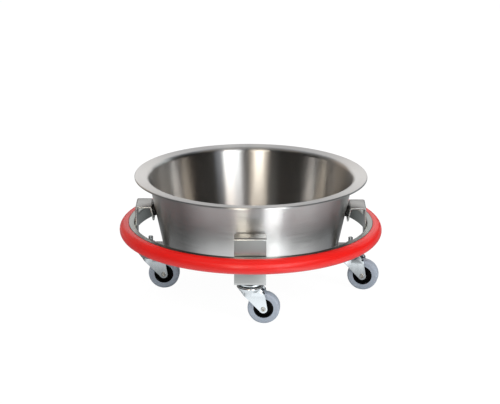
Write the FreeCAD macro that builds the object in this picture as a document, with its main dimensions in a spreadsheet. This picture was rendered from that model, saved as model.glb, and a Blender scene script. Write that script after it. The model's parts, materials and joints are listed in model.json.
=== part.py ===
"""Surgical kick bucket: a shallow bowl in a low ring frame with a rubber bumper and four swivel casters.

Millimetres and degrees, +Z up. The origin is on the floor, under the centre of the bowl.
The front is -Y and the right is +X.
"""

import FreeCAD, Part
import math
import os
import Sketcher

V = FreeCAD.Vector
Placement = FreeCAD.Placement
Rotation = FreeCAD.Rotation
X_AXIS = V(1, 0, 0)
Y_AXIS = V(0, 1, 0)
Z_AXIS = V(0, 0, 1)

# Driving dimensions. A rise is a height above what carries the piece.
DIMENSIONS = {
    # bowl, spun from one sheet
    "base_radius": 142.9,
    "base_bend": 10,
    "bowl_depth": 121.3,
    "bowl_sheet": 1,
    "bowl_gap": 2,
    "wall_angle": 11.9,
    "mouth_bend": 7,
    "rim_width": 21.8,
    "rim_rise": 3,
    "lip_depth": 2.7,
    "lip_bend": 0.6,
    # ring frame: a channel rolled to a ring, open outwards
    "ring_gap": 47.4,
    "ring_rise": 24.1,
    "channel_height": 24.2,
    "channel_depth": 9.8,
    "channel_sheet": 2,
    "channel_bend": 0.8,
    # bumper: a D section with a tongue in the channel
    "bumper_reach": 15.5,
    "bumper_seam": 0.4,
    "bumper_fit": 0.15,
    "bumper_lip": 1,
    # straps: one bent strip each, a hook above the ring and a foot below it
    "strap_width": 50,
    "strap_height": 77.4,
    "strap_sheet": 2.5,
    "strap_bend": 1,
    "strap_corner": 3,
    "strap_seat": 0.05,
    "hook_depth": 23.5,
    "foot_length": 45.3,
    "weld_leg": 2.4,
    "weld_seat": 0.15,
    # rubber pads, pushed through the hooks
    "pad_rise": 11.5,
    "pad_radius": 10,
    "pad_thickness": 3.7,
    "pad_edge": 1.5,
    "pad_clearance": 0.3,
    "pad_hole": 3.6,
    "pad_fit": 0.1,
    "button_radius": 6,
    "button_height": 3.2,
    "button_edge": 2.8,
    # caster stems and what clamps them to the straps' feet
    "stem_inset": 23.7,
    "stem_radius": 4,
    "stem_end": 9.2,
    "stem_chamfer": 0.8,
    "stem_fit": 0.2,
    "stem_head": 6.5,
    "stem_head_height": 2,
    "washer_radius": 8,
    "washer_sheet": 1.6,
    "nut_across": 13,
    "nut_height": 6.8,
    "nut_bevel": 27,
    # swivel race
    "running_fit": 0.08,
    "race_gap": 0.3,
    "cup_seat": 10,
    "cup_radius": 17.5,
    "cup_sheet": 1.5,
    "cup_depth": 4.6,
    "cup_slope": 19,
    "ball_radius": 1.6,
    "ball_circle": 13,
    "ball_count": 8,
    "ball_fit": 0.27,
    "plate_gap": 1.1,
    "plate_sheet": 1.5,
    # fork
    "crown_gap": 5,
    "crown_radius": 21.2,
    "crown_bend": 2.6,
    "skirt_radius": 17,
    "skirt_depth": 8.6,
    "fork_sheet": 2,
    "web_centre": 4,
    "wheel_gap": 1.6,
    "leg_end": 6.5,
    "leading_angle": 45,
    "trailing_angle": 10,
    "trail": 22,
    # wheel
    "wheel_radius": 25.4,
    "tyre_width": 18,
    "tyre_shoulder": 3.6,
    "tyre_fit": 0.05,
    "rim_seat": 15.8,
    "rim_inset": 0.8,
    "rim_wall": 2.2,
    "hub_web": 5,
    "hub_boss": 6.8,
    "boss_gap": 0.4,
    "bush_wall": 1.5,
    "bush_gap": 0.1,
    "axle_radius": 3,
    "axle_fit": 0.05,
    "rivet_head": 3.9,
    "rivet_rise": 1.3,
    "rivet_edge": 0.6,
    "rivet_bore": 2.1,
    "rivet_bore_depth": 3,
}

# Heights, radii and half widths that several pieces share, each worked out from the driving dimensions.
LAYOUT = {
    # heights above the floor, from the wheels up
    "stem_base": "2 * Dims.wheel_radius + Dims.crown_gap",
    "plate_base": "stem_base + Dims.stem_head_height",
    "crown_under": "plate_base + Dims.plate_sheet + Dims.race_gap",
    "crown_top": "crown_under + Dims.fork_sheet",
    "ball_height": "crown_top + Dims.race_gap + Dims.ball_radius",
    "cup_drop": "(Dims.ball_circle - Dims.cup_seat) * tan(Dims.cup_slope)",
    "cup_under": "ball_height + Dims.ball_radius + Dims.ball_fit + cup_drop",
    "foot_base": "cup_under + Dims.cup_sheet",
    "foot_top": "foot_base + Dims.strap_sheet",
    "nut_base": "foot_top + Dims.washer_sheet",
    "nut_top": "nut_base + Dims.nut_height",
    "stem_tip": "nut_top + Dims.stem_end",
    "bowl_base": "foot_top + Dims.bowl_gap",
    "bowl_top": "bowl_base + Dims.bowl_depth",
    "channel_base": "foot_base + Dims.ring_rise",
    "channel_top": "channel_base + Dims.channel_height",
    "hook_top": "foot_base + Dims.strap_height",
    "hook_end": "hook_top - Dims.hook_depth",
    "pad_height": "hook_end + Dims.pad_rise",
    # radii about the bowl's axis
    "wall_skew": "Dims.bowl_sheet / cos(Dims.wall_angle)",
    "mouth_radius": "Dims.base_radius + Dims.bowl_depth * tan(Dims.wall_angle) - wall_skew",
    "rim_radius": "mouth_radius + wall_skew + Dims.rim_width",
    "pad_space": "(Dims.pad_thickness + Dims.pad_clearance) / cos(Dims.wall_angle)",
    "ring_radius": "Dims.base_radius + Dims.ring_gap",
    "channel_outer": "ring_radius + Dims.channel_depth",
    "strap_face": "sqrt(ring_radius^2 - (Dims.strap_width / 2)^2) - Dims.strap_seat",
    "foot_end": "strap_face - Dims.foot_length",
    "stem_circle": "strap_face - Dims.stem_inset",
    # along the axle, and about it
    "fork_inside": "Dims.tyre_width / 2 + Dims.wheel_gap",
    "fork_outside": "fork_inside + Dims.fork_sheet",
    "axle_bore": "Dims.axle_radius + Dims.axle_fit",
    "bush_radius": "axle_bore + Dims.bush_wall",
    "plate_radius": "fork_inside - Dims.plate_gap",
}

# Each strap and its caster: the bearing from the bowl's axis, and the way that the caster trails at rest.
STATIONS = {
    "front": (-90, -5),
    "right": (0, -11),
    "back": (90, 4),
    "left": (180, -3),
}

doc = FreeCAD.newDocument("KickBucket")
for title, cells, lead in (("Dims", DIMENSIONS, ""), ("Layout", LAYOUT, "=")):
    sheet = doc.addObject("Spreadsheet::Sheet", title)
    for row, (alias, content) in enumerate(cells.items(), 1):
        sheet.set(f"A{row}", alias)
        sheet.set(f"B{row}", f"{lead}{content}")
        sheet.setAlias(f"B{row}", alias)
    doc.recompute()

layout = doc.getObject("Layout")
nodes = []


def size(expression):
    """The present value of an expression of the sheets' cells."""
    return float(layout.evalExpression(expression))


def wall_radius(height):
    """Outside radius of the bowl's sloping wall at a height."""
    return f"(Dims.base_radius + ({height} - Layout.bowl_base) * tan(Dims.wall_angle))"


def hook_face(height):
    """Radius of the hook's face towards the bowl, which runs along the bowl's wall."""
    return f"({wall_radius(height)} + Layout.pad_space)"


# Sketch and feature helpers.
def new_body(name):
    return doc.addObject("PartDesign::Body", name)


def new_sketch(body, plane):
    sketch = body.newObject("Sketcher::SketchObject", f"{body.Name}_sketch")
    origin_plane = next(f for f in body.Origin.OriginFeatures if f.Role == plane)
    sketch.AttachmentSupport = (origin_plane, [""])
    sketch.MapMode = "FlatFace"
    return sketch


def bind(sketch, kind, geometry, vertex, expression):
    """Hold one coordinate of a sketch point at an expression."""
    index = sketch.addConstraint(Sketcher.Constraint(kind, -1, 1, geometry, vertex, size(expression)))
    sketch.setExpression(f"Constraints[{index}]", expression)


def add_outline(sketch, corners, arcs=None):
    """A closed outline through corners given as pairs of expressions.

    arcs maps a corner's index to the arc that leads to the next corner: its centre, and its way round,
    1 for anticlockwise and -1 for clockwise.
    """
    arcs = arcs or {}
    points = [V(size(x), size(y), 0) for x, y in corners]
    count = len(points)
    ends = []
    for i, start in enumerate(points):
        stop = points[(i + 1) % count]
        if i not in arcs:
            sketch.addGeometry(Part.LineSegment(start, stop), False)
            ends.append((1, 2))
            continue
        x, y, way = arcs[i]
        centre = V(size(x), size(y), 0)
        angles = [math.atan2(p.y - centre.y, p.x - centre.x) for p in (start, stop)][::way]
        circle = Part.Circle(centre, Z_AXIS, centre.distanceToPoint(start))
        sketch.addGeometry(Part.ArcOfCircle(circle, *angles), False)
        ends.append((1, 2)[::way])
    for i in range(count):
        after = (i + 1) % count
        sketch.addConstraint(Sketcher.Constraint("Coincident", i, ends[i][1], after, ends[after][0]))
    for i, (x, y) in enumerate(corners):
        bind(sketch, "DistanceX", i, ends[i][0], x)
        bind(sketch, "DistanceY", i, ends[i][0], y)
    for i, (x, y, way) in arcs.items():
        chord = points[(i + 1) % count] - points[i]
        if abs(chord.y) > abs(chord.x):
            bind(sketch, "DistanceX", i, 3, x)
        else:
            bind(sketch, "DistanceY", i, 3, y)


def add_circle(sketch, x, y, radius):
    centre = V(size(x), size(y), 0)
    index = sketch.addGeometry(Part.Circle(centre, Z_AXIS, size(radius)), False)
    bind(sketch, "DistanceX", index, 3, x)
    bind(sketch, "DistanceY", index, 3, y)
    held = sketch.addConstraint(Sketcher.Constraint("Radius", index, size(radius)))
    sketch.setExpression(f"Constraints[{held}]", radius)


def turn(body, corners, arcs=None, kind="Revolution"):
    """Turn an outline of (radius, height) corners about the body's Z axis, to add it or to cut it away."""
    sketch = new_sketch(body, "XZ_Plane")
    add_outline(sketch, corners, arcs)
    feature = body.newObject(f"PartDesign::{kind}", f"{body.Name}_turn")
    feature.Profile = sketch
    feature.ReferenceAxis = (sketch, ["V_Axis"])
    feature.Angle = 360
    doc.recompute()
    return feature


def extrude(body, sketch, length, kind="Pad", side="One side", reverse=False):
    """Pad or Pocket a sketch by an expression."""
    feature = body.newObject(f"PartDesign::{kind}", f"{body.Name}_{kind.lower()}")
    feature.Profile = sketch
    feature.SideType = side
    feature.Reversed = reverse
    feature.setExpression("Length", length)
    doc.recompute()
    return feature


def ease(body, base, radius, points, kind="Fillet"):
    """Fillet or Chamfer the edges that pass through the given points."""
    names = []
    for i, edge in enumerate(base.Shape.Edges, 1):
        if any(edge.distToShape(Part.Vertex(p))[0] < 0.001 for p in points):
            names.append(f"Edge{i}")
    feature = body.newObject(f"PartDesign::{kind}", f"{body.Name}_{kind.lower()}")
    feature.Base = (base, names)
    feature.setExpression("Radius" if kind == "Fillet" else "Size", radius)
    doc.recompute()
    return feature


def hoop(radius, height):
    """A point on the circular edge of a turned piece, clear of its seam."""
    return V(0, size(radius), size(height))


def gather(pieces, name):
    """A group of separate solids that share one node."""
    group = doc.addObject("Part::Compound", name)
    group.Links = pieces
    return group


def finish(piece, label, placement=None):
    """Place a finished sub-part and list it for export."""
    piece.Label = label
    if placement:
        piece.Placement = placement
    nodes.append(piece)


def at_bearing(angle):
    return Placement(V(0, 0, 0), Rotation(Z_AXIS, angle))


def at_strap(name):
    """The frame of a strap: X is its bearing."""
    return at_bearing(STATIONS[name][0])


def at_caster(name):
    """The frame of a caster: Z is its swivel axis, and it trails along X."""
    out = at_strap(name).multVec(V(size("Layout.stem_circle"), 0, 0))
    return Placement(out, Rotation(Z_AXIS, STATIONS[name][1]))


def at_axle(name):
    """The frame of a wheel: Z is its axle."""
    middle = V(size("Dims.trail"), 0, size("Dims.wheel_radius"))
    return at_caster(name).multiply(Placement(middle, Rotation(X_AXIS, 90)))


# Sub-parts.
def make_bowl():
    """The bowl: sloping wall, wide rim turned out almost flat, and a small lip turned down."""
    body = new_body("bucket")
    slope = "tan(Dims.rim_rise)"
    rim_skew = "Dims.bowl_sheet / cos(Dims.rim_rise)"
    bend_drop = f"({rim_skew} - {slope} * Layout.wall_skew) / (1 - {slope} * tan(Dims.wall_angle))"
    bend_height = f"(Layout.bowl_top - {bend_drop})"
    rim_edge = f"(Layout.bowl_top + (Layout.rim_radius - Layout.mouth_radius) * {slope})"
    lip_inside = "(Layout.rim_radius - Dims.bowl_sheet)"
    lip_under = f"({rim_edge} - Dims.bowl_sheet * {slope} - {rim_skew})"
    lip_end = f"({rim_edge} - Dims.lip_depth)"
    floor_top = "(Layout.bowl_base + Dims.bowl_sheet)"
    floor_inside = f"({wall_radius(floor_top)} - Layout.wall_skew)"
    spun = turn(body, [
        ("0", "Layout.bowl_base"),
        ("Dims.base_radius", "Layout.bowl_base"),
        (wall_radius(bend_height), bend_height),
        (lip_inside, lip_under),
        (lip_inside, lip_end),
        ("Layout.rim_radius", lip_end),
        ("Layout.rim_radius", rim_edge),
        ("Layout.mouth_radius", "Layout.bowl_top"),
        (floor_inside, floor_top),
        ("0", floor_top),
    ])
    # each bend has its own radius inside the sheet, and that plus the sheet outside
    bends = [
        ("Dims.base_bend", hoop("Dims.base_radius", "Layout.bowl_base")),
        ("Dims.base_bend - Dims.bowl_sheet", hoop(floor_inside, floor_top)),
        ("Dims.mouth_bend", hoop(wall_radius(bend_height), bend_height)),
        ("Dims.mouth_bend + Dims.bowl_sheet", hoop("Layout.mouth_radius", "Layout.bowl_top")),
        ("Dims.lip_bend", hoop(lip_inside, lip_under)),
        ("Dims.lip_bend + Dims.bowl_sheet", hoop("Layout.rim_radius", rim_edge)),
    ]
    for radius, corner in bends:
        spun = ease(body, spun, radius, [corner])
    finish(body, "bucket")


def make_channel():
    """The ring frame: a U channel rolled to a ring, its mouth outwards."""
    body = new_body("ring_channel")
    web = "(Layout.ring_radius + Dims.channel_sheet)"
    lower = "(Layout.channel_base + Dims.channel_sheet)"
    upper = "(Layout.channel_top - Dims.channel_sheet)"
    rolled = turn(body, [
        ("Layout.ring_radius", "Layout.channel_base"),
        ("Layout.channel_outer", "Layout.channel_base"),
        ("Layout.channel_outer", lower),
        (web, lower),
        (web, upper),
        ("Layout.channel_outer", upper),
        ("Layout.channel_outer", "Layout.channel_top"),
        ("Layout.ring_radius", "Layout.channel_top"),
    ])
    rolled = ease(body, rolled, "Dims.channel_bend", [hoop(web, lower), hoop(web, upper)])
    heels = [hoop("Layout.ring_radius", height) for height in ("Layout.channel_base", "Layout.channel_top")]
    ease(body, rolled, "Dims.channel_bend + Dims.channel_sheet", heels)
    finish(body, "ring_channel")


def make_bumper():
    """The rubber bumper: a D section outside the channel and a tongue that fills it."""
    body = new_body("bumper")
    tongue_inner = "(Layout.ring_radius + Dims.channel_sheet + Dims.bumper_fit)"
    tongue_base = "(Layout.channel_base + Dims.channel_sheet + Dims.bumper_fit)"
    tongue_top = "(Layout.channel_top - Dims.channel_sheet - Dims.bumper_fit)"
    shoulder = "(Layout.channel_outer + Dims.bumper_seam)"
    bow_centre = "(Layout.channel_outer + Dims.bumper_reach - Dims.channel_height / 2)"
    middle = "(Layout.channel_base + Dims.channel_height / 2)"
    moulded = turn(body, [
        (tongue_inner, tongue_base),
        (shoulder, tongue_base),
        (shoulder, "Layout.channel_base"),
        (bow_centre, "Layout.channel_base"),
        (bow_centre, "Layout.channel_top"),
        (shoulder, "Layout.channel_top"),
        (shoulder, tongue_top),
        (tongue_inner, tongue_top),
    ], {3: (bow_centre, middle, 1)})
    shoulders = [hoop(shoulder, "Layout.channel_base"), hoop(shoulder, "Layout.channel_top")]
    moulded = ease(body, moulded, "Dims.bumper_lip", shoulders)
    root = [hoop(tongue_inner, tongue_base), hoop(tongue_inner, tongue_top)]
    ease(body, moulded, "Dims.channel_bend + Dims.bumper_fit", root)
    finish(body, "bumper")


def make_strap(name):
    """A bent strap, in the frame where X is its bearing: foot, upright, top plate and hook leg."""
    body = new_body(f"strap_{name}")
    upright = "(Layout.strap_face - Dims.strap_sheet)"
    skew = "Dims.strap_sheet / cos(Dims.wall_angle)"
    under_top = "(Layout.hook_top - Dims.strap_sheet)"
    side = new_sketch(body, "XZ_Plane")
    add_outline(side, [
        ("Layout.foot_end", "Layout.foot_base"),
        ("Layout.strap_face", "Layout.foot_base"),
        ("Layout.strap_face", "Layout.hook_top"),
        (hook_face("Layout.hook_top"), "Layout.hook_top"),
        (hook_face("Layout.hook_end"), "Layout.hook_end"),
        (f"{hook_face('Layout.hook_end')} + {skew}", "Layout.hook_end"),
        (f"{hook_face(under_top)} + {skew}", under_top),
        (upright, under_top),
        (upright, "Layout.foot_top"),
        ("Layout.foot_end", "Layout.foot_top"),
    ])
    strip = extrude(body, side, "Dims.strap_width", side="Symmetric")

    def on_strip(x, z):
        """A point near the middle of the strip's width."""
        return V(size(x), size("Dims.strap_width / 10"), size(z))

    inner_bends = [
        on_strip(upright, "Layout.foot_top"),
        on_strip(upright, under_top),
        on_strip(f"{hook_face(under_top)} + {skew}", under_top),
    ]
    outer_bends = [
        on_strip("Layout.strap_face", "Layout.foot_base"),
        on_strip("Layout.strap_face", "Layout.hook_top"),
        on_strip(hook_face("Layout.hook_top"), "Layout.hook_top"),
    ]
    strip = ease(body, strip, "Dims.strap_bend", inner_bends)
    strip = ease(body, strip, "Dims.strap_bend + Dims.strap_sheet", outer_bends)
    corners = []
    for y in (size("-Dims.strap_width / 2"), size("Dims.strap_width / 2")):
        corners.append(V(size("Layout.foot_end"), y, size("Layout.foot_base + Dims.strap_sheet / 2")))
        corners.append(V(size(f"{hook_face('Layout.hook_end')} + {skew} / 2"), y, size("Layout.hook_end")))
    ease(body, strip, "Dims.strap_corner", corners)

    stem_hole = new_sketch(body, "XY_Plane")
    add_circle(stem_hole, "Layout.stem_circle", "0", "Dims.stem_radius + Dims.stem_fit")
    extrude(body, stem_hole, "Layout.foot_top + Dims.strap_sheet", kind="Pocket", reverse=True)

    # the pad's hole is square to the hook's leg, so its sketch leans with the bowl's wall
    pad_hole = new_sketch(body, "YZ_Plane")
    pad_hole.AttachmentOffset = Placement(V(0, 0, 0), Rotation(X_AXIS, size("Dims.wall_angle")))
    pad_hole.setExpression("AttachmentOffset.Rotation.Angle", "Dims.wall_angle")
    pad_hole.setExpression("AttachmentOffset.Base.y", "Layout.pad_height")
    pad_hole.setExpression("AttachmentOffset.Base.z", hook_face("Layout.pad_height"))
    add_circle(pad_hole, "0", "0", "Dims.pad_hole")
    extrude(body, pad_hole, "4 * Dims.strap_sheet", kind="Pocket", side="Symmetric")
    finish(body, f"strap_{name}", at_strap(name))


def make_welds(name):
    """The two fillet welds between a strap's edges and the ring's inner wall."""
    beads = []
    bend = "(Dims.channel_bend + Dims.channel_sheet)"
    for tag, way in (("a", ""), ("b", "-")):
        near = "(Dims.strap_width / 2 + Dims.weld_seat)"
        far = f"({near} + Dims.weld_leg)"
        wall = "(Layout.ring_radius - Dims.weld_seat)"
        body = new_body(f"weld_{name}_{tag}")
        plan = new_sketch(body, "XY_Plane")
        plan.setExpression("AttachmentOffset.Base.z", f"Layout.channel_base + {bend}")
        corners = [
            (f"sqrt({wall}^2 - {near}^2) - Dims.weld_leg", f"{way}{near}"),
            (f"sqrt({wall}^2 - {near}^2)", f"{way}{near}"),
            (f"sqrt({wall}^2 - {far}^2)", f"{way}{far}"),
        ]
        add_outline(plan, corners)
        extrude(body, plan, f"Dims.channel_height - 2 * {bend}")
        beads.append(body)
    finish(gather(beads, f"welds_{name}"), f"welds_{name}", at_strap(name))


def make_pad(name):
    """A rubber pad, in the frame where Z points from the hook's leg to the bowl's wall."""
    body = new_body(f"pad_{name}")
    neck = "(Dims.pad_hole - Dims.pad_fit)"
    button_base = "(-Dims.strap_sheet - Dims.button_height)"
    moulded = turn(body, [
        ("0", button_base),
        ("Dims.button_radius", button_base),
        ("Dims.button_radius", "-Dims.strap_sheet"),
        (neck, "-Dims.strap_sheet"),
        (neck, "0"),
        ("Dims.pad_radius", "0"),
        ("Dims.pad_radius", "Dims.pad_thickness"),
        ("0", "Dims.pad_thickness"),
    ])
    moulded = ease(body, moulded, "Dims.pad_edge", [hoop("Dims.pad_radius", "Dims.pad_thickness")])
    ease(body, moulded, "Dims.button_edge", [hoop("Dims.button_radius", button_base)])
    seat = V(size(hook_face("Layout.pad_height")), 0, size("Layout.pad_height"))
    tilt = Rotation(Y_AXIS, size("Dims.wall_angle") - 90)
    finish(body, f"pad_{name}", at_strap(name).multiply(Placement(seat, tilt)))


def make_stem(name):
    """The caster's threaded stem, with the rivet head that holds the race together."""
    body = new_body(f"stem_{name}")
    forged = turn(body, [
        ("0", "Layout.stem_base"),
        ("Dims.stem_head", "Layout.stem_base"),
        ("Dims.stem_head", "Layout.plate_base"),
        ("Dims.stem_radius", "Layout.plate_base"),
        ("Dims.stem_radius", "Layout.stem_tip"),
        ("0", "Layout.stem_tip"),
    ])
    tip = [hoop("Dims.stem_radius", "Layout.stem_tip")]
    forged = ease(body, forged, "Dims.stem_chamfer", tip, kind="Chamfer")
    ease(body, forged, "Dims.stem_head_height / 2", [hoop("Dims.stem_head", "Layout.stem_base")])
    finish(body, f"stem_{name}", at_caster(name))


def make_race_cup(name):
    """The pressed cup under the strap's foot that the balls run in."""
    body = new_body(f"race_cup_{name}")
    bore = "(Dims.stem_radius + Dims.axle_fit)"
    skirt = "(Dims.cup_radius - Dims.cup_sheet)"
    fall = "tan(Dims.cup_slope)"
    rim_end = "(Layout.foot_base - Dims.cup_depth)"
    turn(body, [
        (bore, "Layout.cup_under"),
        ("Dims.cup_seat", "Layout.cup_under"),
        (skirt, f"Layout.cup_under - ({skirt} - Dims.cup_seat) * {fall}"),
        (skirt, rim_end),
        ("Dims.cup_radius", rim_end),
        ("Dims.cup_radius", f"Layout.foot_base - (Dims.cup_radius - Dims.cup_seat) * {fall}"),
        ("Dims.cup_seat", "Layout.foot_base"),
        (bore, "Layout.foot_base"),
    ])
    finish(body, f"race_cup_{name}", at_caster(name))


def make_race_plate(name):
    """The plate under the crown, held by the stem's head."""
    body = new_body(f"race_plate_{name}")
    bore = "(Dims.stem_radius + Dims.axle_fit)"
    top = "(Layout.plate_base + Dims.plate_sheet)"
    turn(body, [
        (bore, "Layout.plate_base"),
        ("Layout.plate_radius", "Layout.plate_base"),
        ("Layout.plate_radius", top),
        (bore, top),
    ])
    finish(body, f"race_plate_{name}", at_caster(name))


def make_race_balls(name):
    """The balls between the cup and the crown."""
    balls = []
    count = int(size("Dims.ball_count"))
    spot = Placement(V(size("Dims.ball_circle"), 0, size("Layout.ball_height")), Rotation())
    for i in range(count):
        ball = doc.addObject("Part::Sphere", f"ball_{name}_{i}")
        ball.setExpression("Radius", "Dims.ball_radius")
        ball.Placement = at_bearing(360 * i / count).multiply(spot)
        balls.append(ball)
    finish(gather(balls, f"race_balls_{name}"), f"race_balls_{name}", at_caster(name))


def make_fork(name):
    """The pressed fork: dished crown, skirt, and two legs joined by a web round the leading side."""
    body = new_body(f"fork_{name}")
    crown_middle = "(Layout.crown_top - Dims.fork_sheet / 2)"
    skirt_end = "(Layout.crown_top - Dims.skirt_depth)"
    far_end = "(Dims.trail + Dims.wheel_radius)"

    # the legs and their web are a U in plan, open where the wheel trails
    for kind, half in (("Pad", "Layout.fork_outside"), ("Pocket", "Layout.fork_inside")):
        plan = new_sketch(body, "XY_Plane")
        corners = [
            ("-Dims.web_centre", half),
            ("-Dims.web_centre", f"-{half}"),
            (far_end, f"-{half}"),
            (far_end, half),
        ]
        add_outline(plan, corners, {0: ("-Dims.web_centre", "0", 1)})
        extrude(body, plan, crown_middle, kind=kind, reverse=kind == "Pocket")

    # what is cut away outside the legs: both edges of a leg are tangents of its round end
    leading_x = "(Dims.trail - Dims.leg_end * sin(Dims.leading_angle))"
    leading_z = "(Dims.wheel_radius - Dims.leg_end * cos(Dims.leading_angle))"
    trailing_x = "(Dims.trail + Dims.leg_end * cos(Dims.trailing_angle))"
    trailing_z = "(Dims.wheel_radius + Dims.leg_end * sin(Dims.trailing_angle))"
    web_end = f"({leading_z} + ({leading_x} + Dims.crown_radius) * tan(Dims.leading_angle))"
    shoulder = f"({trailing_x} - ({skirt_end} - {trailing_z}) * tan(Dims.trailing_angle))"
    outside = new_sketch(body, "XZ_Plane")
    add_outline(outside, [
        ("-Dims.crown_radius", "0"),
        (far_end, "0"),
        (far_end, crown_middle),
        ("sqrt(Dims.crown_radius^2 - Layout.fork_outside^2)", crown_middle),
        (shoulder, skirt_end),
        (trailing_x, trailing_z),
        (leading_x, leading_z),
        ("-Dims.crown_radius", web_end),
    ], {5: ("Dims.trail", "Dims.wheel_radius", -1)})
    extrude(body, outside, "4 * Layout.fork_outside", kind="Pocket", side="Symmetric")

    bore = "(Dims.stem_radius + Dims.running_fit)"
    turn(body, [
        (bore, "Layout.crown_under"),
        ("Dims.crown_radius - Dims.fork_sheet", "Layout.crown_under"),
        ("Dims.skirt_radius - Dims.fork_sheet", skirt_end),
        ("Dims.skirt_radius", skirt_end),
        ("Dims.crown_radius", "Layout.crown_top - Dims.crown_bend"),
        ("Dims.crown_radius - Dims.crown_bend", "Layout.crown_top"),
        (bore, "Layout.crown_top"),
    ], {4: ("Dims.crown_radius - Dims.crown_bend", "Layout.crown_top - Dims.crown_bend", 1)})

    axle_hole = new_sketch(body, "XZ_Plane")
    add_circle(axle_hole, "Dims.trail", "Dims.wheel_radius", "Layout.axle_bore")
    extrude(body, axle_hole, "4 * Layout.fork_outside", kind="Pocket", side="Symmetric")
    finish(body, f"fork_{name}", at_caster(name))


def make_axle(name):
    """The axle: a rivet with both ends headed over the fork's legs."""
    body = new_body(f"axle_{name}")
    seat = "(Layout.fork_outside + Dims.axle_fit)"
    end = f"({seat} + Dims.rivet_rise)"
    dimple = f"({end} - Dims.rivet_bore_depth)"
    rivet = turn(body, [
        ("0", f"-{dimple}"),
        ("Dims.rivet_bore", f"-{dimple}"),
        ("Dims.rivet_bore", f"-{end}"),
        ("Dims.rivet_head", f"-{end}"),
        ("Dims.rivet_head", f"-{seat}"),
        ("Dims.axle_radius", f"-{seat}"),
        ("Dims.axle_radius", seat),
        ("Dims.rivet_head", seat),
        ("Dims.rivet_head", end),
        ("Dims.rivet_bore", end),
        ("Dims.rivet_bore", dimple),
        ("0", dimple),
    ])
    ease(body, rivet, "Dims.rivet_edge", [hoop("Dims.rivet_head", end), hoop("Dims.rivet_head", f"-{end}")])
    finish(body, f"axle_{name}", at_axle(name))


def make_bush(name):
    """The steel bush that the hub turns on, held between the fork's legs."""
    body = new_body(f"bush_{name}")
    half = "(Layout.fork_inside - Dims.bush_gap)"
    turn(body, [
        ("Layout.axle_bore", f"-{half}"),
        ("Layout.bush_radius", f"-{half}"),
        ("Layout.bush_radius", half),
        ("Layout.axle_bore", half),
    ])
    finish(body, f"bush_{name}", at_axle(name))


def make_hub(name):
    """The moulded hub: a boss on the bush, a thin web and a broad rim under the tyre."""
    body = new_body(f"hub_{name}")
    bore = "(Layout.bush_radius + Dims.running_fit)"
    boss = "(Layout.fork_inside - Dims.boss_gap)"
    rim = "(Dims.tyre_width / 2 - Dims.rim_inset)"
    web = "(Dims.hub_web / 2)"
    rim_inside = "(Dims.rim_seat - Dims.rim_wall)"
    turn(body, [
        (bore, f"-{boss}"),
        ("Dims.hub_boss", f"-{boss}"),
        ("Dims.hub_boss", f"-{web}"),
        (rim_inside, f"-{web}"),
        (rim_inside, f"-{rim}"),
        ("Dims.rim_seat", f"-{rim}"),
        ("Dims.rim_seat", rim),
        (rim_inside, rim),
        (rim_inside, web),
        ("Dims.hub_boss", web),
        ("Dims.hub_boss", boss),
        (bore, boss),
    ])
    finish(body, f"hub_{name}", at_axle(name))


def make_tyre(name):
    """The rubber tyre, with rounded shoulders."""
    body = new_body(f"tyre_{name}")
    bore = "(Dims.rim_seat + Dims.tyre_fit)"
    half = "(Dims.tyre_width / 2)"
    moulded = turn(body, [
        (bore, f"-{half}"),
        ("Dims.wheel_radius", f"-{half}"),
        ("Dims.wheel_radius", half),
        (bore, half),
    ])
    shoulders = [hoop("Dims.wheel_radius", half), hoop("Dims.wheel_radius", f"-{half}")]
    ease(body, moulded, "Dims.tyre_shoulder", shoulders)
    finish(body, f"tyre_{name}", at_axle(name))


def make_washer(name):
    """A plain washer on a strap's foot."""
    body = new_body(f"washer_{name}")
    bore = "(Dims.stem_radius + Dims.stem_fit)"
    turn(body, [
        (bore, "Layout.foot_top"),
        ("Dims.washer_radius", "Layout.foot_top"),
        ("Dims.washer_radius", "Layout.nut_base"),
        (bore, "Layout.nut_base"),
    ])
    body.Placement = at_caster(name)
    return body


def make_nut(name):
    """A hexagon nut on a stem, its upper corners bevelled."""
    body = new_body(f"nut_{name}")
    corner = "(Dims.nut_across / sqrt(3))"
    flat = "(Dims.nut_across / 2)"
    hexagon = new_sketch(body, "XY_Plane")
    hexagon.setExpression("AttachmentOffset.Base.z", "Layout.nut_base")
    add_outline(hexagon, [(f"{corner} * cos({60 * i})", f"{corner} * sin({60 * i})") for i in range(6)])
    extrude(body, hexagon, "Dims.nut_height")
    bevel_end = f"Layout.nut_top - (2 * {corner} - {flat}) * tan(Dims.nut_bevel)"
    bevel = [(flat, "Layout.nut_top"), (f"2 * {corner}", "Layout.nut_top"), (f"2 * {corner}", bevel_end)]
    turn(body, bevel, kind="Groove")
    bore = new_sketch(body, "XY_Plane")
    add_circle(bore, "0", "0", "Dims.stem_radius + Dims.axle_fit")
    extrude(body, bore, "2 * Layout.nut_top", kind="Pocket", reverse=True)
    body.Placement = at_caster(name)
    return body


make_bowl()
make_channel()
make_bumper()
for station in STATIONS:
    make_strap(station)
    make_welds(station)
    make_pad(station)
    make_stem(station)
    make_race_cup(station)
    make_race_balls(station)
    make_race_plate(station)
    make_fork(station)
    make_axle(station)
    make_bush(station)
    make_hub(station)
    make_tyre(station)
finish(gather([make_washer(station) for station in STATIONS], "stem_washers"), "stem_washers")
finish(gather([make_nut(station) for station in STATIONS], "stem_nuts"), "stem_nuts")
doc.recompute()

for item in doc.Objects:
    faults = {"Invalid", "Error"} & set(item.State)
    if faults:
        raise RuntimeError(f"{item.Name}: {faults}")
for node in nodes:
    if node.Shape.isNull() or not node.Shape.isValid():
        raise RuntimeError(f"{node.Label}: no valid shape")

os.makedirs("parts", exist_ok=True)
for node in nodes:
    node.Shape.exportStep(f"parts/{node.Label}.step")
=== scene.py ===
"""Surgical kick bucket: a stainless bowl in a ring frame with a red rubber bumper, on four swivel casters.

Metres, +Z up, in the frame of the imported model. The front is -Y and the floor is Z = 0.
"""

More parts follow.
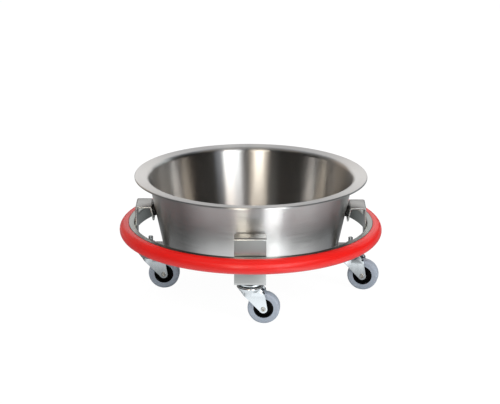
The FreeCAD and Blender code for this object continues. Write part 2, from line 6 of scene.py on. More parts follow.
import json
import math

import bmesh
import bpy
from mathutils import Matrix, Quaternion, Vector

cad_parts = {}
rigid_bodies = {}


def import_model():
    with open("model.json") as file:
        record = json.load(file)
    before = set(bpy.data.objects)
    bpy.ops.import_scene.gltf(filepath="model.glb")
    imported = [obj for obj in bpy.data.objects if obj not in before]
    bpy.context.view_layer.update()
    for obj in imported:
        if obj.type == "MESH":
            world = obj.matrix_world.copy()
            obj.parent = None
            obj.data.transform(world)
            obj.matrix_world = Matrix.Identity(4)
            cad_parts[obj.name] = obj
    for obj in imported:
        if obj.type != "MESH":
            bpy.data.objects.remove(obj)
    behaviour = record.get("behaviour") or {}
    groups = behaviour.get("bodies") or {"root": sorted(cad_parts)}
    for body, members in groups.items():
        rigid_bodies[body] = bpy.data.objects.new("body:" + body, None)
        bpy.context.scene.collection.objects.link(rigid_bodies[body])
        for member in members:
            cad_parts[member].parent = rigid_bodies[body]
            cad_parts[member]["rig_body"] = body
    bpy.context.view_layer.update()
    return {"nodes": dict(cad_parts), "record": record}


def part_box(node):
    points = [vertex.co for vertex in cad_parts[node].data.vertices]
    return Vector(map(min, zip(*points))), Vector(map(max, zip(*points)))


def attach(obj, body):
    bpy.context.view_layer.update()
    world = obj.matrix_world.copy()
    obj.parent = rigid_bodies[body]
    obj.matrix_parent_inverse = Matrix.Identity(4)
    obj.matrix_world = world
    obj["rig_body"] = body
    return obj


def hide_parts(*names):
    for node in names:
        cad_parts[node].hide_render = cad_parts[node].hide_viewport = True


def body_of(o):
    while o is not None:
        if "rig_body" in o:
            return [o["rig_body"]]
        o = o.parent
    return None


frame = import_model()

MM = 0.001
UP = Vector((0, 0, 1))
SCENE = bpy.context.scene
STATIONS = ("front", "right", "back", "left")

# The camera stands in front of the bowl and a little above it.
VIEW_AZIMUTH = math.radians(0.186)
VIEW_ELEVATION = math.radians(16.915)
VIEW_ROLL = math.radians(0.278)
VIEW_DISTANCE = 3190.4 * MM
VIEW_TARGET = Vector((-1.33, 0.0, 147.2)) * MM
SENSOR_WIDTH = 36.0
LENS_LENGTH = 139.88

# Noise keeps near its middle, so this part of it is drawn out over the whole of a range.
NOISE_RANGE = (0.3, 0.7)
SCRATCH_HARSHNESS = 0.7

# Steel brushed round the axis: how many radians long a scratch is, how wide a row of them is, and how far
# they change the steel's tone and its roughness.
ROUND_SCRATCH = 0.67
ROUND_ROW = 0.9 * MM
LEAN_ROW = 0.1 * MM
ROUND_TONE = (0.98, 1.01)
ROUND_DULL = (-0.004, 0.006)
# How far out a face looks: its way from the axis, measured along its normal. Below the first value it counts
# as inside the bowl, and above the second as outside.
LOOKS_OUT = (0.03, 0.1)
# A quarter of a turn lays the stretch of a reflection across the tangent.
ACROSS_TANGENT = 0.25

# Steel brushed along a strip: a scratch in millimetres, a row in radians, and broad clouds.
STRIP_SCRATCH = 60 * MM
STRIP_ROW = 0.0013
STRIP_TONE = (0.985, 1.01)
STRIP_DULL = (-0.01, 0.01)
STRIP_CLOUD = 40 * MM
STRIP_CLOUD_TONE = (0.98, 1.02)

# Weld beads. A wave texture of scale 1 repeats once in WAVE_PERIOD.
WAVE_PERIOD = 0.31
WELD_RIPPLE = 1.2 * MM
WELD_RIPPLE_DEPTH = 0.15 * MM
WELD_RIPPLE_WANDER = 1.5
WELD_CLOUD = 3 * MM
WELD_TONE = (0.85, 1.05)
WELD_DULL = (-0.06, 0.08)

# Moulded rubber and nylon.
MOULDED_IOR = 1.5
MOULDED_GRAIN_DEPTH = 0.01 * MM
MOULDED_DULL = (-0.05, 0.05)
MOULDED_CLOUD = 70 * MM
MOULDED_TONE = (0.95, 1.04)
COAT_ROUGHNESS = 0.2

# Bare and plated metal. A press's waves are this wide. The scale of their pattern is smaller along Z, so that
# they stand upright.
PRESS_WAVE = 5 * MM
PRESS_UPRIGHT = (1.0, 1.0, 0.15)
METAL_TONE = (0.97, 1.01)
METAL_DULL = (-0.01, 0.02)

# A caster's stem: an M8 coarse thread above a rivet head. The crest and the flank are shares of half a pitch.
# The thread starts this far above the underside of the strap's foot.
THREAD_RADIUS = 4.0 * MM
THREAD_PITCH = 1.25 * MM
THREAD_DEPTH = 0.77 * MM
THREAD_CREST = 0.12
THREAD_FLANK = 0.62
THREAD_ROWS = 12
THREAD_SIDES = 32
THREAD_START = 2 * MM
TIP_CHAMFER = 0.8 * MM
RIVET_HEAD = 2.0 * MM
RIVET_HEAD_STEPS = 4

# What joins a CAD mesh's triangles into whole flat faces before it is worked on.
SAME_CORNER = 0.001 * MM
SAME_PLANE = math.radians(0.5)
CORNER_ANGLE = math.radians(35)

# The broken edge of a strap's sheet.
STRAP_EDGE = 0.8 * MM
STRAP_EDGE_STEPS = 3

# The pressed nose of a caster's fork, measured from its swivel axis along its trail and up from the floor.
# What lies nearer the middle than this share of a leg's distance from it stays as it is.
NOSE_START = 3.0 * MM
NOSE_CUTS = 12
NOSE_FADE = (46.0 * MM, 53.0 * MM)
NOSE_MIDDLE = 1 / 8

# The floor: paper that the camera sees as plain white for the most part.
FLOOR_HALF = 6.0
FLOOR_WHITE = 1.07
FLOOR_WHITE_SHARE = 0.9
PAPER_COLOUR = "#EDEDED"
# The floor in reflections: its plain level, then its pools of light. A pool is the x and y of its middle, its
# half lengths along x and y, and its strength, which is below 0 for a pool of shade.
FLOOR_TINT = "#F6FBFF"
FLOOR_LEVEL = 0.25
FLOOR_POOLS = (
    (0.03, -0.26, 0.62, 0.24, 1.4),
    (0.14, -0.33, 0.08, 0.2, 3.0),
    (0.0, -0.43, 0.09, 0.1, -0.4),
    (0.0, -0.75, 0.55, 0.3, 0.7),
    (0.5, -0.2, 0.5, 0.4, 0.7),
    (0.4, -1.5, 0.9, 0.75, 2.2),
    (1.6, -0.2, 1.2, 1.2, 0.3),
    (0.0, 1.3, 2.4, 1.2, 0.7),
)

# The boards stand round the object, drapes behind cards behind softboxes.
SOFTBOX_DISTANCE = 2.6
CARD_DISTANCE = 2.7
DRAPE_DISTANCE = 2.75
BOARD_STEP = 6
HORIZON = 0.4
SOFTBOX_MIDDLE = 0.9
SOFTBOX_TOP = 2.2
DRAPE_TOP = 4.5
# Upright boards: name, first and last bearing in degrees from +X, bottom, top, distance, tint and strength.
UPRIGHT_BOARDS = (
    ("softbox_right_low", -76, -56, 0.0, SOFTBOX_MIDDLE, SOFTBOX_DISTANCE, "#EEFAFF", 5.6),
    ("softbox_right_edge", -79, -68, SOFTBOX_MIDDLE, SOFTBOX_TOP, SOFTBOX_DISTANCE, "#FCFDFF", 3.5),
    ("softbox_right_core", -68, -56, SOFTBOX_MIDDLE, SOFTBOX_TOP, SOFTBOX_DISTANCE, "#FFFAF5", 6.2),
    ("spill_right", -56, -46, 0.0, SOFTBOX_TOP, SOFTBOX_DISTANCE, "#E6F0FF", 0.6),
    ("softbox_left_low", -105, -94, 0.0, SOFTBOX_MIDDLE, SOFTBOX_DISTANCE, "#FFFCF0", 7.0),
    ("softbox_left_high", -111, -89, SOFTBOX_MIDDLE, SOFTBOX_TOP, SOFTBOX_DISTANCE, "#FFF4E3", 3.2),
    ("card_right", 26, 60, SOFTBOX_MIDDLE, SOFTBOX_TOP, SOFTBOX_DISTANCE, "#F4FDFF", 0.8),
    ("card_left", 120, 154, 0.0, SOFTBOX_TOP, SOFTBOX_DISTANCE, "#FFF0E0", 0.42),
    ("card_behind_left", 120, 180, 0.0, DRAPE_TOP, CARD_DISTANCE, "#F4F2EE", 0.18),
    ("card_behind_right", 26, 60, 0.0, DRAPE_TOP, CARD_DISTANCE, "#EEF2F6", 0.12),
    ("card_beside", -16, 26, 0.0, DRAPE_TOP, CARD_DISTANCE, "#EEF2F6", 0.02),
    ("drape", 120, 420, 0.0, DRAPE_TOP, DRAPE_DISTANCE, "#E8F0FA", 0.004),
    ("drape_low", 60, 120, 0.0, HORIZON, DRAPE_DISTANCE, "#E8F0FA", 0.004),
    ("drape_high", 60, 120, SOFTBOX_TOP, DRAPE_TOP, DRAPE_DISTANCE, "#E8F0FA", 0.7),
)
# Boards overhead: name, front edge, back edge, tint and strength.
OVERHEAD_SPLIT = 0.6
OVERHEAD_BOARDS = (
    ("overhead_front", -DRAPE_DISTANCE, -OVERHEAD_SPLIT, "#DCF0FF", 0.3),
    ("overhead_middle", -OVERHEAD_SPLIT, OVERHEAD_SPLIT, "#FFE6C8", 0.4),
    ("overhead_back", OVERHEAD_SPLIT, DRAPE_DISTANCE, "#F0F6FF", 0.4),
)

# Lamps: name, place, width and watts.
LAMP_TARGET = Vector((0.0, 0.0, 0.1))
LAMPS = (
    ("lamp_right", (1.6, -1.6, 1.4), 1.3, 32),
    ("lamp_left", (-1.6, -1.6, 1.4), 1.3, 10),
    ("lamp_above", (0.0, -0.2, 2.4), 1.6, 8),
    ("lamp_behind", (0.3, 2.0, 1.5), 1.3, 16),
)
# The sky's light on matt surfaces, as a share of the white that is seen.
SKY_SHARE = 0.45


# Nodes, colours and materials.
def linear(code):
    """An sRGB hex colour as the linear colour that a shader takes."""
    channels = [int(code[i:i + 2], 16) / 255 for i in (1, 3, 5)]
    return [c / 12.92 if c <= 0.04045 else ((c + 0.055) / 1.055) ** 2.4 for c in channels] + [1.0]


def add(tree, kind, settings=None, inputs=None):
    """Add a node with its settings; an input given as a socket is linked, any other value is set."""
    node = tree.nodes.new("ShaderNode" + kind)
    for name, value in (settings or {}).items():
        setattr(node, name, value)
    for name, value in (inputs or {}).items():
        if isinstance(value, bpy.types.NodeSocket):
            tree.links.new(value, node.inputs[name])
        else:
            node.inputs[name].default_value = value
    return node


def new_material(name):
    material = bpy.data.materials.new(name)
    material.use_nodes = True
    tree = material.node_tree
    tree.nodes.clear()
    return material, tree


def spread(tree, noise, low, high):
    """A noise value drawn out over the range from low to high."""
    return add(tree, "MapRange", inputs={
        "Value": noise, "From Min": NOISE_RANGE[0], "From Max": NOISE_RANGE[1],
        "To Min": low, "To Max": high}).outputs[0]


def swung(tree, noise, middle, swing):
    """A value that a noise moves about its middle, from the first of a swing to the second."""
    return spread(tree, noise, middle + swing[0], middle + swing[1])


def tinted(tree, code, tone):
    """A colour made a little lighter or darker by a tone near 1."""
    return add(tree, "VectorMath", {"operation": "SCALE"}, {0: linear(code)[:3], "Scale": tone}).outputs[0]


def place_on_steel(tree):
    """Where a point is: its vector from the axis, its bearing in radians, and its way along the section."""
    place = add(tree, "TexCoord").outputs["Object"]
    x, y, z = add(tree, "SeparateXYZ", inputs={0: place}).outputs
    flat = add(tree, "CombineXYZ", inputs={0: x, 1: y}).outputs[0]
    radius = add(tree, "VectorMath", {"operation": "LENGTH"}, {0: flat}).outputs["Value"]
    bearing = add(tree, "Math", {"operation": "ARCTAN2"}, {0: y, 1: x}).outputs[0]
    section = add(tree, "Math", {"operation": "ADD"}, {0: radius, 1: z}).outputs[0]
    return flat, bearing, section


def scratches(tree, along, along_step, across, across_step, detail):
    """Brush lines: noise drawn out along the brushing, with rows of one width across it."""
    long_way = add(tree, "Math", {"operation": "DIVIDE"}, {0: along, 1: along_step}).outputs[0]
    rows = add(tree, "Math", {"operation": "DIVIDE"}, {0: across, 1: across_step}).outputs[0]
    cells = add(tree, "CombineXYZ", inputs={0: long_way, 1: rows}).outputs[0]
    return add(tree, "TexNoise", {"noise_dimensions": "2D"}, {
        "Vector": cells, "Scale": 1.0, "Detail": detail, "Roughness": SCRATCH_HARSHNESS}).outputs["Fac"]


def brushed_round(name, code, roughness, pull, lean_inside, lean_outside):
    """Stainless steel spun on a lathe and brushed with grit as it turned.

    The scratches run round the axis, so what the steel mirrors is drawn out into tall soft streaks. The real
    ones are some 0.02 mm wide, too fine to show. Rows of 0.9 mm show their grain in their place, and rows of
    0.1 mm lean the surface up and down.
    """
    material, tree = new_material(name)
    flat, bearing, section = place_on_steel(tree)
    grain = scratches(tree, bearing, ROUND_SCRATCH, section, ROUND_ROW, detail=3.0)
    fine = scratches(tree, bearing, ROUND_SCRATCH, section, LEAN_ROW, detail=1.0)
    normal = add(tree, "NewGeometry").outputs["Normal"]
    looks_out = add(tree, "VectorMath", {"operation": "DOT_PRODUCT"}, {0: normal, 1: flat}).outputs["Value"]
    strength = add(tree, "MapRange", inputs={
        "Value": looks_out, "From Min": LOOKS_OUT[0], "From Max": LOOKS_OUT[1],
        "To Min": lean_inside, "To Max": lean_outside}).outputs[0]
    swing = add(tree, "MapRange", {"clamp": False}, {"Value": fine, "To Min": -1.0, "To Max": 1.0}).outputs[0]
    lean = add(tree, "Math", {"operation": "MULTIPLY"}, {0: swing, 1: strength}).outputs[0]
    round_axis = add(tree, "Tangent", {"direction_type": "RADIAL", "axis": "Z"}).outputs[0]
    upward = add(tree, "VectorMath", {"operation": "CROSS_PRODUCT"}, {0: normal, 1: round_axis}).outputs[0]
    push = add(tree, "VectorMath", {"operation": "SCALE"}, {0: upward, "Scale": lean}).outputs[0]
    leant = add(tree, "VectorMath", {"operation": "ADD"}, {0: normal, 1: push}).outputs[0]
    groove = add(tree, "VectorMath", {"operation": "NORMALIZE"}, {0: leant}).outputs[0]
    shader = add(tree, "BsdfPrincipled", inputs={
        "Base Color": tinted(tree, code, spread(tree, grain, *ROUND_TONE)), "Metallic": 1.0,
        "Roughness": swung(tree, grain, roughness, ROUND_DULL),
        "Normal": groove, "Tangent": round_axis, "Anisotropic": pull, "Anisotropic Rotation": ACROSS_TANGENT})
    add(tree, "OutputMaterial", inputs={0: shader.outputs[0]})
    return material


def brushed_lengthwise(name, code, roughness, pull):
    """Stainless strip as it comes from the mill, brushed along its length, then bent.

    Its scratches run up a strap, so a light in front spreads sideways over the whole face. They are drawn in
    rows 0.25 mm wide, coarser than the real ones so that they show.
    """
    material, tree = new_material(name)
    flat, bearing, section = place_on_steel(tree)
    grain = scratches(tree, section, STRIP_SCRATCH, bearing, STRIP_ROW, detail=2.0)
    cloud = add(tree, "TexNoise", inputs={
        "Vector": add(tree, "TexCoord").outputs["Object"],
        "Scale": 1 / STRIP_CLOUD, "Detail": 2.0}).outputs["Fac"]
    sideways = add(tree, "VectorMath", {"operation": "CROSS_PRODUCT"}, {0: UP, 1: flat}).outputs[0]
    tone = add(tree, "Math", {"operation": "MULTIPLY"}, {
        0: spread(tree, grain, *STRIP_TONE), 1: spread(tree, cloud, *STRIP_CLOUD_TONE)}).outputs[0]
    shader = add(tree, "BsdfPrincipled", inputs={
        "Base Color": tinted(tree, code, tone), "Metallic": 1.0,
        "Roughness": swung(tree, grain, roughness, STRIP_DULL),
        "Tangent": sideways, "Anisotropic": pull})
    add(tree, "OutputMaterial", inputs={0: shader.outputs[0]})
    return material


def weld_bead(name, code, roughness):
    """Weld metal laid by hand and brushed clean: ripples 1.2 mm apart, duller than the sheet beside it."""
    material, tree = new_material(name)
    place = add(tree, "TexCoord").outputs["Object"]
    waves = add(tree, "TexWave", {"bands_direction": "Z"}, {
        "Vector": place, "Scale": WAVE_PERIOD / WELD_RIPPLE,
        "Distortion": WELD_RIPPLE_WANDER, "Detail": 1.0}).outputs["Fac"]
    cloud = add(tree, "TexNoise", inputs={
        "Vector": place, "Scale": 1 / WELD_CLOUD, "Detail": 3.0}).outputs["Fac"]
    ripple = add(tree, "Bump", inputs={
        "Height": waves, "Distance": WELD_RIPPLE_DEPTH, "Strength": 1.0}).outputs[0]
    shader = add(tree, "BsdfPrincipled", inputs={
        "Base Color": tinted(tree, code, spread(tree, cloud, *WELD_TONE)), "Metallic": 1.0,
        "Roughness": swung(tree, cloud, roughness, WELD_DULL), "Normal": ripple})
    add(tree, "OutputMaterial", inputs={0: shader.outputs[0]})
    return material


def moulded(name, code, roughness, grain_mm, gloss=0.5, coat=0.0):
    """Rubber or nylon from a polished mould: an even colour, a fine grain and a soft gloss.

    The coat is the shine that a dipped or wiped rubber keeps over its own dull surface.
    """
    material, tree = new_material(name)
    place = add(tree, "TexCoord").outputs["Object"]
    grain = add(tree, "TexNoise", inputs={
        "Vector": place, "Scale": 1 / (grain_mm * MM), "Detail": 2.0}).outputs["Fac"]
    cloud = add(tree, "TexNoise", inputs={
        "Vector": place, "Scale": 1 / MOULDED_CLOUD, "Detail": 3.0}).outputs["Fac"]
    bump = add(tree, "Bump", inputs={
        "Height": grain, "Distance": MOULDED_GRAIN_DEPTH, "Strength": 1.0}).outputs[0]
    shader = add(tree, "BsdfPrincipled", inputs={
        "Base Color": tinted(tree, code, spread(tree, cloud, *MOULDED_TONE)),
        "Roughness": swung(tree, grain, roughness, MOULDED_DULL), "Normal": bump, "IOR": MOULDED_IOR,
        "Specular IOR Level": gloss, "Coat Weight": coat, "Coat Roughness": COAT_ROUGHNESS})
    add(tree, "OutputMaterial", inputs={0: shader.outputs[0]})
    return material


def bare_metal(name, code, roughness, cloud_mm, wave_mm=0.0):
    """Pressed, turned or plated steel: a silver with faint clouds where the bath or the tool left it duller.

    The waves are what a press leaves in thin sheet: shallow upright folds, which break up a reflection into
    soft bands.
    """
    material, tree = new_material(name)
    place = add(tree, "TexCoord").outputs["Object"]
    cloud = add(tree, "TexNoise", inputs={
        "Vector": place, "Scale": 1 / (cloud_mm * MM), "Detail": 3.0}).outputs["Fac"]
    upright = add(tree, "VectorMath", {"operation": "MULTIPLY"}, {0: place, 1: PRESS_UPRIGHT}).outputs[0]
    waves = add(tree, "TexNoise", inputs={
        "Vector": upright, "Scale": 1 / PRESS_WAVE, "Detail": 0.0}).outputs["Fac"]
    pressed = add(tree, "Bump", inputs={
        "Height": waves, "Distance": wave_mm * MM, "Strength": 1.0}).outputs[0]
    shader = add(tree, "BsdfPrincipled", inputs={
        "Base Color": tinted(tree, code, spread(tree, cloud, *METAL_TONE)), "Metallic": 1.0,
        "Roughness": swung(tree, cloud, roughness, METAL_DULL), "Normal": pressed})
    add(tree, "OutputMaterial", inputs={0: shader.outputs[0]})
    return material


FINISHES = {
    "bucket_steel": brushed_round(
        "spun_stainless", "#CFCCC9", roughness=0.28, pull=1.0, lean_inside=0.0, lean_outside=0.8),
    "frame_steel": brushed_lengthwise("strip_stainless", "#B2B1AE", roughness=0.3, pull=0.5),
    "weld_steel": weld_bead("weld_stainless", "#A5A39C", roughness=0.42),
    "bumper_rubber": moulded("red_rubber", "#EC130A", roughness=0.38, grain_mm=0.5, gloss=0.3, coat=0.25),
    "pad_rubber": moulded("black_rubber", "#191919", roughness=0.5, grain_mm=0.4),
    "zinc_steel": bare_metal("zinc_plate", "#C9CCCD", roughness=0.17, cloud_mm=6.0, wave_mm=0.3),
    "rivet_steel": bare_metal("rivet_steel", "#A9A7A3", roughness=0.24, cloud_mm=2.0),
    "ball_steel": bare_metal("ball_steel", "#C8C8C8", roughness=0.12, cloud_mm=2.0),
    "hub_plastic": moulded("moulded_nylon", "#050506", roughness=0.3, grain_mm=0.3, gloss=0.05),
    "tyre_rubber": moulded("grey_rubber", "#A5B0BD", roughness=0.5, grain_mm=0.4),
}
RING_STEEL = brushed_round(
    "rolled_stainless", "#969A96", roughness=0.28, pull=0.9, lean_inside=0.5, lean_outside=0.5)

slot_of = {part["node"]: part["material_slot"] for part in frame["record"]["subparts"]}
for node_name, node in frame["nodes"].items():
    node.data.materials.clear()
    node.data.materials.append(FINISHES[slot_of[node_name]])
# The channel is rolled to a ring, so its brushing runs round like the bowl's, and not along a strip.
frame["nodes"]["ring_channel"].data.materials[0] = RING_STEEL


# Pieces.
def flat_faced_copy(node_name, place):
    """A CAD node's shape as seen from a place, with the triangles of each flat face joined into one face."""
    shape = bmesh.new()
    shape.from_mesh(frame["nodes"][node_name].data)
    bmesh.ops.transform(shape, matrix=place.inverted(), verts=shape.verts)
    bmesh.ops.remove_doubles(shape, verts=shape.verts, dist=SAME_CORNER)
    bmesh.ops.dissolve_limit(shape, angle_limit=SAME_PLANE, verts=shape.verts, edges=shape.edges)
    return shape


def as_mesh(shape, name):
    mesh = bpy.data.meshes.new(name)
    shape.to_mesh(mesh)
    shape.free()
    return mesh


def new_piece(name, mesh, node_name):
    """A mesh that stands for a CAD node, with the node's finish and body."""
    for face in mesh.polygons:
        face.use_smooth = True
    mesh.set_sharp_from_angle(angle=CORNER_ANGLE)
    mesh.materials.clear()
    mesh.materials.append(FINISHES[slot_of[node_name]])
    piece = bpy.data.objects.new(name, mesh)
    SCENE.collection.objects.link(piece)
    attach(piece, body_of(frame["nodes"][node_name])[0])
    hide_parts(node_name)


def stem_profile(low, high, thread_start):
    """The stem's rows from its head up, as heights and radii, with no radius where the thread is cut."""
    head = (high.x - low.x) / 2
    round_edge = RIVET_HEAD / 2
    rows = []
    for i in range(RIVET_HEAD_STEPS + 1):
        angle = math.radians(90 * i / RIVET_HEAD_STEPS)
        out = head - round_edge * (1 - math.sin(angle))
        rows.append((low.z + round_edge * (1 - math.cos(angle)), out))
    rows += [(low.z + RIVET_HEAD, head), (low.z + RIVET_HEAD, THREAD_RADIUS)]
    count = round((high.z - thread_start) / THREAD_PITCH * THREAD_ROWS)
    rows += [(thread_start + (high.z - thread_start) * i / count, None) for i in range(count + 1)]
    return rows


def threaded_radius(height, turn, thread_start, top):
    """The radius at a height and a share of a turn: the thread runs in from the shank to a chamfered tip."""
    phase = ((height - thread_start) / THREAD_PITCH - turn) % 1.0
    depth = min(1.0, max(0.0, (abs(2 * phase - 1) - THREAD_CREST) / THREAD_FLANK))
    run_in = min(1.0, (height - thread_start) / THREAD_PITCH)
    tip = THREAD_RADIUS - TIP_CHAMFER + (top - height)
    return min(tip, THREAD_RADIUS - THREAD_DEPTH * run_in * depth)


def make_threaded_stem(station):
    """The caster's stem: a rivet head, a plain shank and a thread cut up to the chamfered tip."""
    node_name = f"stem_{station}"
    low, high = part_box(node_name)
    middle = (low + high) / 2
    thread_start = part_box(f"strap_{station}")[0].z + THREAD_START
    shape = bmesh.new()
    rings = []
    for z, radius in stem_profile(low, high, thread_start):
        ring = []
        for side in range(THREAD_SIDES):
            turn = side / THREAD_SIDES
            out = threaded_radius(z, turn, thread_start, high.z) if radius is None else radius
            angle = 2 * math.pi * turn
            corner = (middle.x + out * math.cos(angle), middle.y + out * math.sin(angle), z)
            ring.append(shape.verts.new(corner))
        rings.append(ring)
    for below, above in zip(rings, rings[1:]):
        for side in range(THREAD_SIDES):
            following = (side + 1) % THREAD_SIDES
            shape.faces.new((below[side], below[following], above[following], above[side]))
    shape.faces.new(list(reversed(rings[0])))
    shape.faces.new(rings[-1])
    name = f"threaded_stem_{station}"
    new_piece(name, as_mesh(shape, name), node_name)


def make_deburred_strap(station):
    """A strap with the broken edges that tumbling leaves on cut sheet, which catch the light as lines."""
    node_name = f"strap_{station}"
    draft_mesh = as_mesh(flat_faced_copy(node_name, Matrix.Identity(4)), f"draft_{station}")
    draft = bpy.data.objects.new(f"draft_{station}", draft_mesh)
    SCENE.collection.objects.link(draft)
    bevel = draft.modifiers.new("broken_edge", "BEVEL")
    bevel.width = STRAP_EDGE
    bevel.segments = STRAP_EDGE_STEPS
    bevel.limit_method = "ANGLE"
    bevel.angle_limit = CORNER_ANGLE
    bevel.use_clamp_overlap = True
    bevelled = bpy.data.meshes.new_from_object(draft.evaluated_get(bpy.context.evaluated_depsgraph_get()))
    bpy.data.objects.remove(draft)
    bpy.data.meshes.remove(draft_mesh)
    bevelled.name = f"deburred_strap_{station}"
    new_piece(f"deburred_strap_{station}", bevelled, node_name)


def cut_across(shape, place, normal):
    """Cut the line of a plane into each face that it crosses, so that the face can bend there."""
    bmesh.ops.bisect_plane(shape, geom=shape.verts[:] + shape.edges[:] + shape.faces[:],
                           plane_co=place, plane_no=normal)


def oval_half_width(reach, length, half_width):
    """Half the width of an oval nose, at a reach into the length over which it closes."""
    return half_width * math.sqrt(max(0.0, 1 - (reach / length) ** 2))


def make_pressed_fork(station):
    """A fork whose legs draw in towards each other ahead of the swivel, as deep pressing leaves them."""
    node_name = f"fork_{station}"
    axis = sum(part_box(f"stem_{station}"), Vector()) / 2
    trail = sum(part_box(f"axle_{station}"), Vector()) / 2 - axis
    trail.z = 0
    along = trail.normalized()
    place = Matrix((along, UP.cross(along), UP)).transposed().to_4x4()
    place.translation = Vector((axis.x, axis.y, 0))
    shape = flat_faced_copy(node_name, place)
    nose = min(v.co.x for v in shape.verts)
    leg = max(abs(v.co.y) for v in shape.verts if v.co.z < NOSE_FADE[0])
    for i in range(NOSE_CUTS):
        cut_across(shape, (NOSE_START + (nose - NOSE_START) * i / NOSE_CUTS, 0, 0), (1, 0, 0))
    cut_across(shape, (0, 0, NOSE_FADE[0]), (0, 0, 1))
    bend = nose + leg
    for vertex in shape.verts:
        x, y, z = vertex.co
        if x >= NOSE_START or abs(y) < leg * NOSE_MIDDLE:
            continue
        pressed = oval_half_width(NOSE_START - x, NOSE_START - nose, leg)
        plain = oval_half_width(max(0.0, bend - x), leg, leg)
        fade = min(1.0, max(0.0, (NOSE_FADE[1] - z) / (NOSE_FADE[1] - NOSE_FADE[0])))
        vertex.co.y += math.copysign((pressed - plain) * fade, y)
    bmesh.ops.triangulate(shape, faces=shape.faces)
    bmesh.ops.transform(shape, matrix=place, verts=shape.verts)
    name = f"pressed_fork_{station}"
    new_piece(name, as_mesh(shape, name), node_name)


for station in STATIONS:
    make_threaded_stem(station)
    make_deburred_strap(station)
    make_pressed_fork(station)


# Studio.
def stage_mesh(name, corners, faces, material):
    mesh = bpy.data.meshes.new(name)
    mesh.from_pydata(corners, [], faces)
    mesh.materials.append(material)
    board = bpy.data.objects.new(name, mesh)
    SCENE.collection.objects.link(board)
    return board


def rectangle(half, front, back, height):
    """The corners of a level rectangle, as wide as twice the half."""
    return [(-half, front, height), (half, front, height), (half, back, height), (-half, back, height)]


def reflected_board(name, corners, faces, code, strength):
    """A glowing board that only the steel and the gloss see: it lights nothing and hides nothing."""
    material, tree = new_material(name)
    light = add(tree, "Emission", inputs={"Color": linear(code), "Strength": strength})
    add(tree, "OutputMaterial", inputs={0: light.outputs[0]})
    board = stage_mesh(name, corners, faces, material)
    board.visible_camera = False
    board.visible_shadow = False
    board.visible_diffuse = False


def upright_board(name, start, end, bottom, top, distance, code, strength):
    """A board round the object, from one bearing to another."""
    steps = round((end - start) / BOARD_STEP)
    corners = []
    for i in range(steps + 1):
        bearing = math.radians(start + (end - start) * i / steps)
        x, y = distance * math.cos(bearing), distance * math.sin(bearing)
        corners += [(x, y, bottom), (x, y, top)]
    faces = [(2 * i, 2 * i + 2, 2 * i + 3, 2 * i + 1) for i in range(steps)]
    reflected_board(name, corners, faces, code, strength)


def make_boards():
    """Softboxes in front with a dark gap between them, and drapes round all but the white background."""
    for board in UPRIGHT_BOARDS:
        upright_board(*board)
    for name, front, back, code, strength in OVERHEAD_BOARDS:
        corners = rectangle(DRAPE_DISTANCE, front, back, DRAPE_TOP)
        reflected_board(name, corners, [(0, 1, 2, 3)], code, strength)


def pool(tree, place, x, y, half_x, half_y, strength):
    """A soft oval pool of light on the floor."""
    offset = add(tree, "VectorMath", {"operation": "SUBTRACT"}, {0: place, 1: (x, y, 0)}).outputs[0]
    share = add(tree, "VectorMath", {"operation": "DIVIDE"}, {0: offset, 1: (half_x, half_y, 1)}).outputs[0]
    away = add(tree, "VectorMath", {"operation": "LENGTH"}, {0: share}).outputs["Value"]
    return add(tree, "MapRange", {"interpolation_type": "SMOOTHSTEP"}, {
        "Value": away, "From Max": 1.0, "To Min": strength, "To Max": 0.0}).outputs[0]


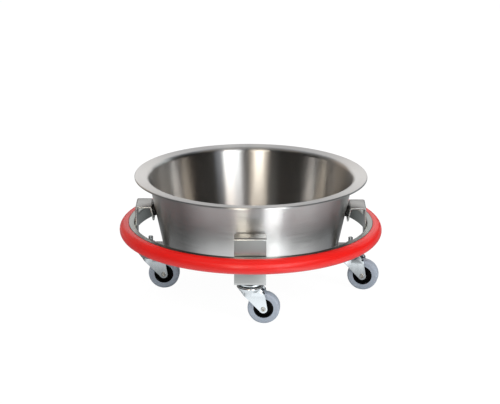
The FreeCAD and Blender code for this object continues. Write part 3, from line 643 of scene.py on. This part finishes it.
def make_floor():
    """White paper with pools of light, which the steel mirrors; the camera sees white with a faint shadow."""
    material, tree = new_material("white_paper")
    rays = add(tree, "LightPath").outputs
    place = add(tree, "TexCoord").outputs["Object"]
    level = FLOOR_LEVEL
    for values in FLOOR_POOLS:
        level = add(tree, "Math", {"operation": "ADD"}, {0: level, 1: pool(tree, place, *values)}).outputs[0]
    mirrored = add(tree, "Emission", inputs={"Color": linear(FLOOR_TINT), "Strength": level}).outputs[0]
    share = add(tree, "Math", {"operation": "MULTIPLY"}, {
        0: rays["Is Camera Ray"], 1: FLOOR_WHITE_SHARE}).outputs[0]
    paper = add(tree, "BsdfDiffuse", inputs={"Color": linear(PAPER_COLOUR)}).outputs[0]
    white = add(tree, "Emission", inputs={"Strength": FLOOR_WHITE}).outputs[0]
    seen = add(tree, "MixShader", inputs={0: share, 1: paper, 2: white}).outputs[0]
    unseen = add(tree, "Math", {"operation": "MAXIMUM"}, {
        0: rays["Is Glossy Ray"], 1: rays["Is Transmission Ray"]}).outputs[0]
    mixed = add(tree, "MixShader", inputs={0: unseen, 1: seen, 2: mirrored}).outputs[0]
    add(tree, "OutputMaterial", inputs={0: mixed})
    stage_mesh("floor", rectangle(FLOOR_HALF, -FLOOR_HALF, FLOOR_HALF, 0), [(0, 1, 2, 3)], material)


def make_world():
    """White to the camera and in reflections; a softer sky for the light that falls on matt surfaces."""
    world = bpy.data.worlds.new("studio")
    world.use_nodes = True
    tree = world.node_tree
    tree.nodes.clear()
    rays = add(tree, "LightPath").outputs
    seen = rays["Is Camera Ray"]
    for kind in ("Is Glossy Ray", "Is Transmission Ray"):
        seen = add(tree, "Math", {"operation": "MAXIMUM"}, {0: seen, 1: rays[kind]}).outputs[0]
    level = add(tree, "MapRange", inputs={"Value": seen, "To Min": SKY_SHARE, "To Max": 1.0}).outputs[0]
    sky = add(tree, "Background", inputs={"Color": linear("#FFFFFF"), "Strength": level})
    add(tree, "OutputWorld", inputs={0: sky.outputs[0]})
    SCENE.world = world


def make_lamp(name, place, size, power):
    """A soft lamp aimed at the object, for the rubber and the paper; the steel mirrors the boards instead."""
    data = bpy.data.lights.new(name, "AREA")
    data.shape = "DISK"
    data.size = size
    data.energy = power
    light = bpy.data.objects.new(name, data)
    light.location = place
    light.rotation_euler = (LAMP_TARGET - light.location).to_track_quat("-Z", "Y").to_euler()
    light.visible_glossy = False
    SCENE.collection.objects.link(light)


def make_camera():
    data = bpy.data.cameras.new("camera")
    data.sensor_width = SENSOR_WIDTH
    data.lens = LENS_LENGTH
    camera = bpy.data.objects.new("camera", data)
    back = Vector((0, -math.cos(VIEW_ELEVATION), math.sin(VIEW_ELEVATION))) * VIEW_DISTANCE
    turn = Matrix.Rotation(VIEW_AZIMUTH, 3, "Z")
    camera.location = turn @ (VIEW_TARGET + back)
    aim = (-(turn @ back)).to_track_quat("-Z", "Y")
    camera.rotation_euler = (aim @ Quaternion(UP, VIEW_ROLL)).to_euler()
    SCENE.collection.objects.link(camera)
    SCENE.camera = camera


make_boards()
make_floor()
make_world()
for values in LAMPS:
    make_lamp(*values)
make_camera()
SCENE.view_settings.view_transform = "Standard"
